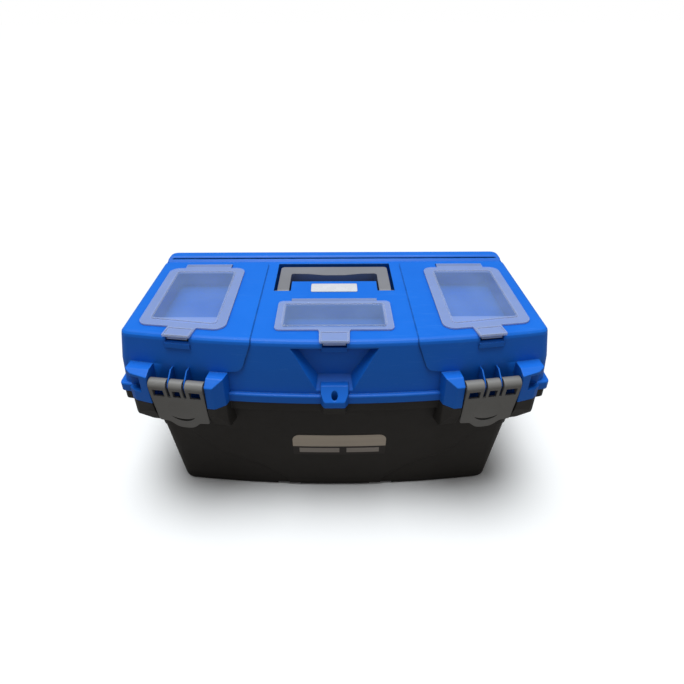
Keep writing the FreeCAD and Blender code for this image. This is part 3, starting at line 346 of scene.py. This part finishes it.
bluePlastic = makePlastic("bluePlastic", blueLook)
blackPlastic = makePlastic("blackPlastic", blackLook)
greyPlastic = makePlastic("greyPlastic", greyLook)
handleSkyTintPlastic = makePlastic("handleSkyTintPlastic", handleSkyTintLook)
trayPlastic = makePlastic("trayPlastic", trayLook)
paint(bluePlastic, "lid_shell")
paint(blackPlastic, "base_tub")
paint(greyPlastic, "latch_left", "latch_right", "tray_handle")
paint(handleSkyTintPlastic, "handle")
paint(trayPlastic, "tray", "tray_divider_1", "tray_divider_2", "tray_divider_3", "tray_divider_4")
paint(makeSteel(), "hinge_pin_left", "hinge_pin_right", "latch_pin_left", "latch_pin_right")
paint(makeClear("clearSideLeft", "cover_left", clearLook["sideMargin"]), "cover_left")
paint(makeClear("clearSideRight", "cover_right", clearLook["sideMargin"]), "cover_right")
paint(makeClear("clearCentre", "cover_centre", clearLook["centreMargin"]), "cover_centre")
paint(makeWhitePlate(), "name_plate")
paint(makeLabel(), "front_label")
print("materials made")

# The studio: a wide pale floor, an even pale surround, a broad light from straight above, and a weak one
# in front. The floor looks pale but throws back little, so that the fronts stay in shade.

studioLook = {
    "floorReach": 40.0, "floorSeen": (0.98, 0.98, 0.98, 1), "floorThrows": (0.25, 0.24, 0.23, 1),
    "surroundSeen": (1.0, 1.0, 1.0, 1), "surroundThrows": (0.12, 0.12, 0.12, 1),
    "keyColour": (0.95, 0.98, 1.0), "keyStrength": 3.0, "keySoftness": 36.0, "keyAim": (0.05, -0.02, -1.0),
    "keyPlace": (0, 0, 3), "fillPower": 2.0, "fillSize": 1.2, "fillPlace": (0.5, -1.2, 1.7),
    "fillTarget": (0, 0, 0.12),
}


def seenOrThrown(tree, seen, thrown):
    # one colour for what is looked at, another for the light passed on
    path = addNode(tree, "ShaderNodeLightPath")
    return mixColour(tree, path.outputs["Is Camera Ray"], thrown, seen)


def makeFloor():
    reach = studioLook["floorReach"]
    mesh = bpy.data.meshes.new("floor")
    mesh.from_pydata([(-reach, -reach, 0), (reach, -reach, 0), (reach, reach, 0), (-reach, reach, 0)], [],
                     [(0, 1, 2, 3)])
    floor = bpy.data.objects.new("floor", mesh)
    bpy.context.scene.collection.objects.link(floor)
    material, tree = newMaterial("palePaper")
    colour = seenOrThrown(tree, studioLook["floorSeen"], studioLook["floorThrows"])
    finishMaterial(tree, addNode(tree, "ShaderNodeBsdfDiffuse", Color=colour))
    mesh.materials.append(material)


def aimLight(name, data, place, aim):
    light = bpy.data.objects.new(name, data)
    light.location = place
    light.rotation_euler = Vector(aim).to_track_quat("-Z", "Y").to_euler()
    bpy.context.scene.collection.objects.link(light)


def makeLights():
    key = bpy.data.lights.new("key", "SUN")
    key.color = studioLook["keyColour"]
    key.energy = studioLook["keyStrength"]
    key.angle = math.radians(studioLook["keySoftness"])
    aimLight("key", key, studioLook["keyPlace"], studioLook["keyAim"])
    fill = bpy.data.lights.new("fill", "AREA")
    fill.energy = studioLook["fillPower"]
    fill.size = studioLook["fillSize"]
    place = Vector(studioLook["fillPlace"])
    aimLight("fill", fill, place, Vector(studioLook["fillTarget"]) - place)


def makeSurround():
    world = bpy.data.worlds.new("surround")
    world.use_nodes = True
    tree = world.node_tree
    tree.nodes.clear()
    colour = seenOrThrown(tree, studioLook["surroundSeen"], studioLook["surroundThrows"])
    background = addNode(tree, "ShaderNodeBackground", Color=colour, Strength=1.0)
    output = addNode(tree, "ShaderNodeOutputWorld")
    tree.links.new(background.outputs[0], output.inputs["Surface"])
    bpy.context.scene.world = world


makeFloor()
makeLights()
makeSurround()
bpy.context.scene.view_settings.view_transform = "Standard"
print("studio made")

# Handheld wide view from above the front.

cameraLook = {
    "distance": 0.415, "height": 0.520, "pitch": 33.18, "roll": 0.25, "lens": 26.32, "sensor": 36,
    "shift": 0.0129,
}


def makeCamera():
    data = bpy.data.cameras.new("camera")
    data.lens = cameraLook["lens"]
    data.sensor_width = cameraLook["sensor"]
    data.shift_x = cameraLook["shift"]
    camera = bpy.data.objects.new("camera", data)
    camera.location = (0, cadLow.y - cameraLook["distance"], cameraLook["height"])
    camera.rotation_euler = (math.radians(90 - cameraLook["pitch"]), math.radians(cameraLook["roll"]), 0)
    bpy.context.scene.collection.objects.link(camera)
    bpy.context.scene.camera = camera


makeCamera()
print("camera made")
